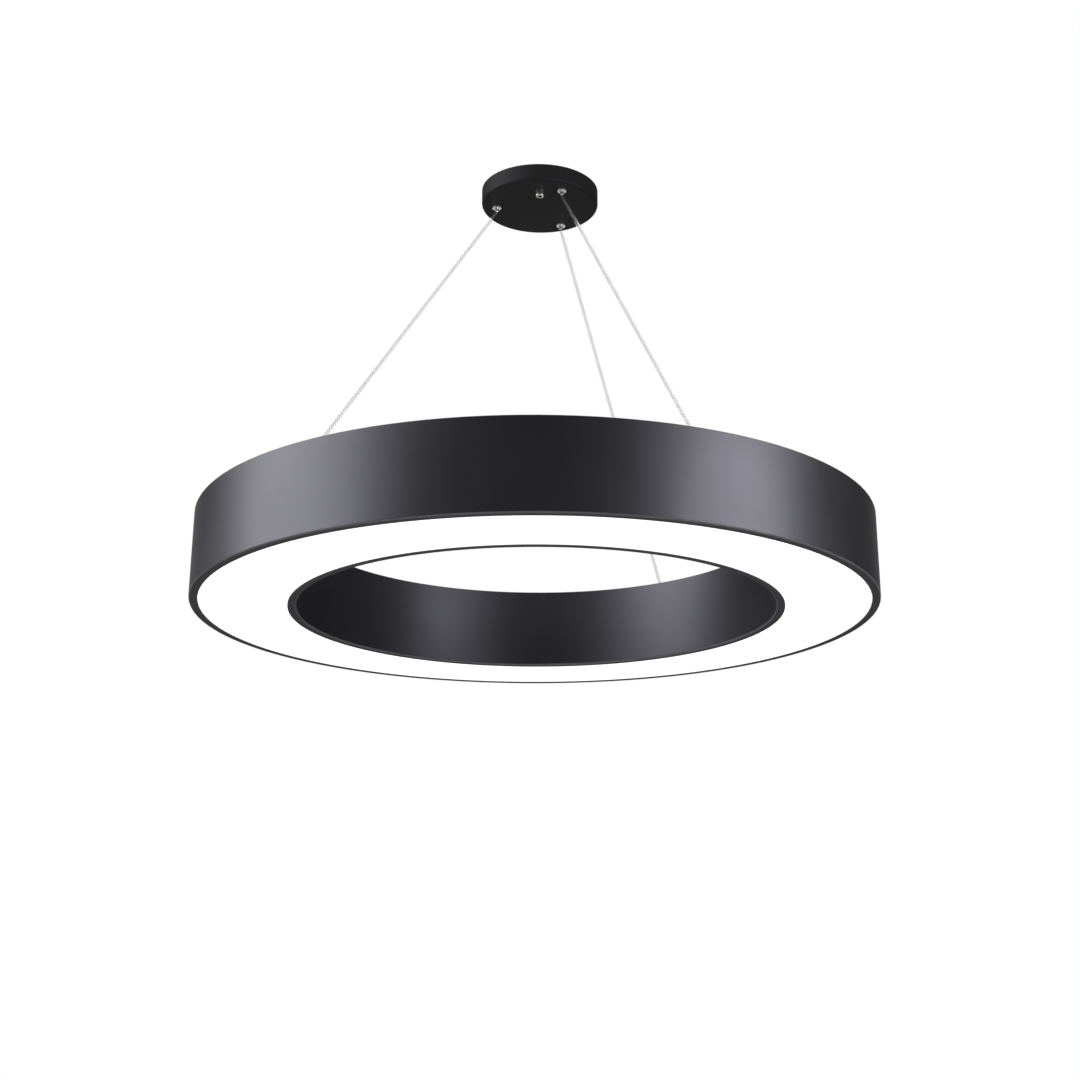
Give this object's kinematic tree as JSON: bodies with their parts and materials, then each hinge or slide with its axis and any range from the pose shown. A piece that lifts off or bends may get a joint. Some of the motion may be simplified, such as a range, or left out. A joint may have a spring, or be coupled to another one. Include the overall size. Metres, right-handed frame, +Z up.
{
  "type": "ring pendant light",
  "caption": "Round ring pendant light: black metal ring housing with a white opal underside, hung level on thin steel wires from a shallow round ceiling canopy.",
  "frame": {"origin": "centre of the canopy's ceiling face", "axes": "+Z up out of the canopy into the ceiling, on the ring's axis; -Y towards the camera of the picture; +X to the right in the picture"},
  "size_m": [0.8, 0.8, 0.556],
  "materials": {
    "black_powder_coat_aluminium": "satin",
    "black_powder_coat_steel": "satin",
    "white_coated_aluminium": "matte",
    "white_circuit_board": "satin",
    "led_phosphor": "satin",
    "opal_diffuser": "matte",
    "driver_case_plastic": "matte",
    "driver_cap_plastic": "matte",
    "nickel_fitting": "satin",
    "bright_steel": "polished",
    "steel_wire": "satin",
    "zinc_steel": "satin",
    "black_screw": "satin",
    "brass": "satin",
    "seal_rubber": "matte",
    "terminal_plastic": "satin"
  },
  "bodies": {
    "canopy": {"ceiling_bracket": "zinc_steel", "canopy_cover": "black_powder_coat_steel", "cover_side_screws": "black_screw", "earth_screw": "brass", "terminal_block": "terminal_plastic", "terminal_sleeves": "brass", "terminal_clamp_screws": "zinc_steel", "terminal_fixing_screws": "zinc_steel", "canopy_gland_body": "nickel_fitting", "canopy_gland_cap": "nickel_fitting", "canopy_gland_seal": "seal_rubber", "canopy_gland_nut": "nickel_fitting", "wire_tails": "steel_wire", "gripper_body_left": "nickel_fitting", "gripper_body_near": "nickel_fitting", "gripper_body_far": "nickel_fitting", "gripper_cap_left": "nickel_fitting", "gripper_cap_near": "nickel_fitting", "gripper_cap_far": "nickel_fitting", "gripper_nut_left": "nickel_fitting", "gripper_nut_near": "nickel_fitting", "gripper_nut_far": "nickel_fitting", "gripper_spring_left": "bright_steel", "gripper_spring_near": "bright_steel", "gripper_spring_far": "bright_steel", "suspension_wire_left": "steel_wire", "suspension_wire_near": "steel_wire", "suspension_wire_far": "steel_wire"},
    "ring": {"outer_profile": "black_powder_coat_aluminium", "inner_profile": "black_powder_coat_aluminium", "top_plate": "black_powder_coat_aluminium", "top_plate_screws": "black_screw", "led_tray": "white_coated_aluminium", "tray_screws": "zinc_steel", "led_boards": "white_circuit_board", "led_chips": "led_phosphor", "diffuser": "opal_diffuser", "driver_case": "driver_case_plastic", "driver_end_caps": "driver_cap_plastic", "driver_screws": "zinc_steel", "anchor_washers": "zinc_steel", "anchor_nuts": "zinc_steel", "ring_gland_body": "nickel_fitting", "ring_gland_cap": "nickel_fitting", "ring_gland_seal": "seal_rubber", "ring_gland_nut": "nickel_fitting", "wire_anchor_left": "nickel_fitting", "wire_anchor_near": "nickel_fitting", "wire_anchor_far": "nickel_fitting", "wire_end_ball_left": "bright_steel", "wire_end_ball_near": "bright_steel", "wire_end_ball_far": "bright_steel"},
    "plunger_left": {"gripper_plunger_left": "nickel_fitting", "gripper_balls_left": "bright_steel"},
    "plunger_near": {"gripper_plunger_near": "nickel_fitting", "gripper_balls_near": "bright_steel"},
    "plunger_far": {"gripper_plunger_far": "nickel_fitting", "gripper_balls_far": "bright_steel"}
  },
  "joints": [
    {"name": "ring_height", "type": "slide", "parent": "canopy", "child": "ring", "axis": [0, 0, 1], "range_m": [0, 0.15], "deforming": ["suspension_wire_left", "suspension_wire_near", "suspension_wire_far"]},
    {"name": "gripper_press_left", "type": "slide", "parent": "canopy", "child": "plunger_left", "axis": [0, 0, 1], "range_m": [0, 0.0025], "stiffness_N_per_m": 500, "springref_m": -0.003, "deforming": ["gripper_spring_left"]},
    {"name": "gripper_press_near", "type": "slide", "parent": "canopy", "child": "plunger_near", "axis": [0, 0, 1], "range_m": [0, 0.0025], "stiffness_N_per_m": 500, "springref_m": -0.003, "deforming": ["gripper_spring_near"]},
    {"name": "gripper_press_far", "type": "slide", "parent": "canopy", "child": "plunger_far", "axis": [0, 0, 1], "range_m": [0, 0.0025], "stiffness_N_per_m": 500, "springref_m": -0.003, "deforming": ["gripper_spring_far"]}
  ]
}
